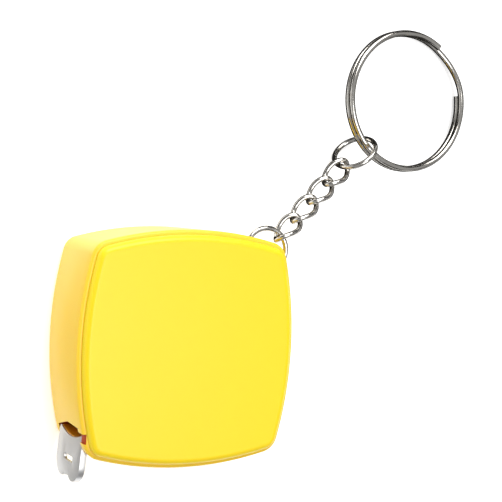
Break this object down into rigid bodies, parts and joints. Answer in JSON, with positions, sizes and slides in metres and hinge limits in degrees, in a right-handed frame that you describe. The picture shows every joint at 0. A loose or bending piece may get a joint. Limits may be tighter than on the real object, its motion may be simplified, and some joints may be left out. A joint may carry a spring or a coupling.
{
  "type": "tape measure keychain",
  "caption": "Rounded-square pocket tape measure with a spring reel and end hook, on a short curb chain with a split key ring.",
  "frame": {"origin": "centre of the case's flat rear face, on which the case lies", "axes": "+Z out of the front face, +Y towards the top of the case, +X towards the side with the key ring; the tape leaves towards -X"},
  "size_m": [0.0785, 0.0773, 0.0178],
  "materials": {
    "case_yellow": "satin",
    "screw_steel": "satin",
    "reel_black": "matte",
    "spring_steel": "satin",
    "tape_paint": "satin",
    "hook_steel": "satin",
    "nickel": "polished"
  },
  "bodies": {
    "case": {"rear_shell": "case_yellow", "front_cover": "case_yellow", "case_screw_1": "screw_steel", "case_screw_2": "screw_steel", "spring_arbor": "screw_steel"},
    "reel": {"reel_drum": "reel_black", "reel_cap": "reel_black", "mainspring": "spring_steel", "blade_coil": "tape_paint"},
    "tape_end": {"blade_run": "tape_paint", "end_hook": "hook_steel", "hook_rivet_1": "hook_steel", "hook_rivet_2": "hook_steel"},
    "ring_low": {"lower_jump_ring": "nickel"},
    "link_1": {"chain_link_1": "nickel"},
    "link_2": {"chain_link_2": "nickel"},
    "link_3": {"chain_link_3": "nickel"},
    "link_4": {"chain_link_4": "nickel"},
    "ring_high": {"upper_jump_ring": "nickel"},
    "key_ring": {"split_ring": "nickel"}
  },
  "joints": [
    {"name": "tape_pull", "type": "slide", "parent": "case", "child": "tape_end", "axis": [-1, 0, 0], "range_m": [0, 1], "stiffness_N_per_m": 1.2, "springref_m": -0.6},
    {"name": "reel_spin", "type": "hinge", "parent": "case", "child": "reel", "pos_m": [0, 0, 0], "axis": [0, 0, 1], "range_deg": [-4100, 5]},
    {"name": "ring_low_turn", "type": "hinge", "parent": "case", "child": "ring_low", "pos_m": [0.0173, 0.0156, 0.0081], "axis": [0, 0, 1], "range_deg": [-12, 12]},
    {"name": "link_1_swing", "type": "hinge", "parent": "ring_low", "child": "link_1", "pos_m": [0.01925, 0.0174, 0.00831], "axis": [0, 0, 1], "range_deg": [-8, 8]},
    {"name": "link_2_swing", "type": "hinge", "parent": "link_1", "child": "link_2", "pos_m": [0.02273, 0.02063, 0.00744], "axis": [0, 0, 1], "range_deg": [-8, 8]},
    {"name": "link_3_swing", "type": "hinge", "parent": "link_2", "child": "link_3", "pos_m": [0.02622, 0.02386, 0.00657], "axis": [0, 0, 1], "range_deg": [-8, 8]},
    {"name": "link_4_swing", "type": "hinge", "parent": "link_3", "child": "link_4", "pos_m": [0.0297, 0.02708, 0.0057], "axis": [0, 0, 1], "range_deg": [-8, 8]},
    {"name": "ring_high_swing", "type": "hinge", "parent": "link_4", "child": "ring_high", "pos_m": [0.03319, 0.03031, 0.00482], "axis": [0, 0, 1], "range_deg": [-8, 8]},
    {"name": "key_ring_swing", "type": "hinge", "parent": "ring_high", "child": "key_ring", "pos_m": [0.03775, 0.03447, 0.00387], "axis": [0, 0, 1], "range_deg": [-6, 6]}
  ],
  "couplings": [
    {"joint": "reel_spin", "follows": "tape_pull", "rad_per_m": -70.922}
  ]
}
